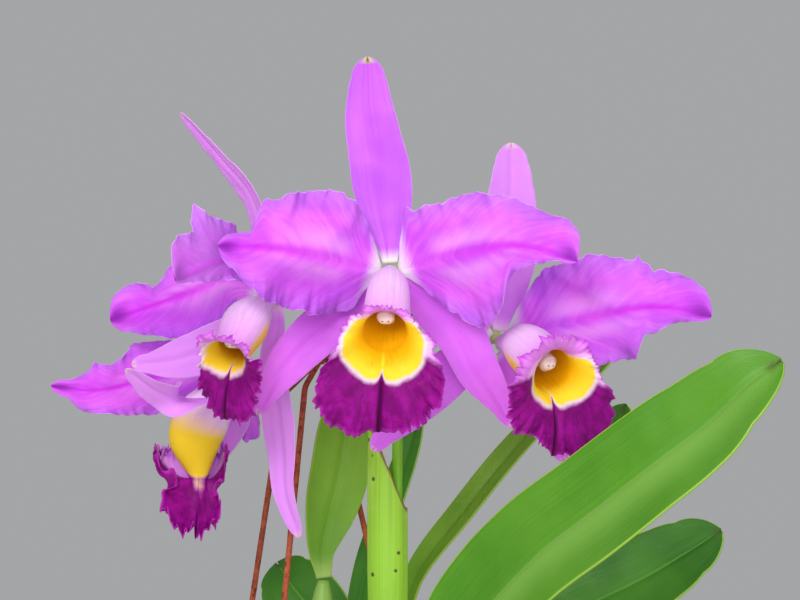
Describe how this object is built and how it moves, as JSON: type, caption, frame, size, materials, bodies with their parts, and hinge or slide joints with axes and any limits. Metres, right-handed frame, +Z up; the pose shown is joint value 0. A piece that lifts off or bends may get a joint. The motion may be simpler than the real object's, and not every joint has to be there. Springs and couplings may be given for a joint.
{
  "type": "potted cattleya orchid",
  "caption": "Potted cattleya orchid with large frilled flowers on one stalk, leathery leaves on club-shaped bulbs, in a clay pot with a wire hanger.",
  "frame": {"origin": "centre of the pot's flat underside", "axes": "+Z up along the pot's axis, the front flower faces -Y, the big leaf reaches to +X"},
  "size_m": [0.2906, 0.2016, 0.4973],
  "materials": {
    "petal": "satin",
    "sepal": "satin",
    "lip": "satin",
    "column": "satin",
    "stalk": "satin",
    "spathe": "satin",
    "leaf": "satin",
    "bulb": "satin",
    "rhizome": "matte",
    "root": "matte",
    "bark": "matte",
    "clay": "matte",
    "wire": "matte"
  },
  "bodies": {
    "root": {"front_dorsal_sepal": "sepal", "front_left_petal": "petal", "front_right_petal": "petal", "front_left_sepal": "sepal", "front_right_sepal": "sepal", "front_lip": "lip", "front_column": "column", "front_ovary": "stalk", "right_dorsal_sepal": "sepal", "right_left_petal": "petal", "right_right_petal": "petal", "right_left_sepal": "sepal", "right_right_sepal": "sepal", "right_lip": "lip", "right_column": "column", "right_ovary": "stalk", "upper_left_dorsal_sepal": "sepal", "upper_left_left_petal": "petal", "upper_left_right_petal": "petal", "upper_left_left_sepal": "sepal", "upper_left_right_sepal": "sepal", "upper_left_lip": "lip", "upper_left_column": "column", "upper_left_ovary": "stalk", "lower_left_dorsal_sepal": "sepal", "lower_left_left_petal": "petal", "lower_left_right_petal": "petal", "lower_left_left_sepal": "sepal", "lower_left_right_sepal": "sepal", "lower_left_lip": "lip", "lower_left_column": "column", "lower_left_ovary": "stalk", "peduncle": "stalk", "spathe": "spathe", "leaf_front": "leaf", "leaf_lower_right": "leaf", "leaf_mid_left": "leaf", "leaf_low_left": "leaf", "leaf_behind_sheath": "leaf", "leaf_back_right": "leaf", "leaf_back_far": "leaf", "bulb_front": "bulb", "bulb_lower_right": "bulb", "bulb_mid_left": "bulb", "bulb_low_left": "bulb", "bulb_behind_sheath": "bulb", "bulb_back_right": "bulb", "bulb_back_far": "bulb", "rhizome_main": "rhizome", "rhizome_front": "rhizome", "rhizome_back": "rhizome", "root_front": "root", "root_left": "root", "bark": "bark", "pot": "clay", "hanger_wire_right": "wire", "hanger_wire_back": "wire", "hanger_wire_left": "wire", "hanger_hook": "wire"}
  },
  "joints": []
}
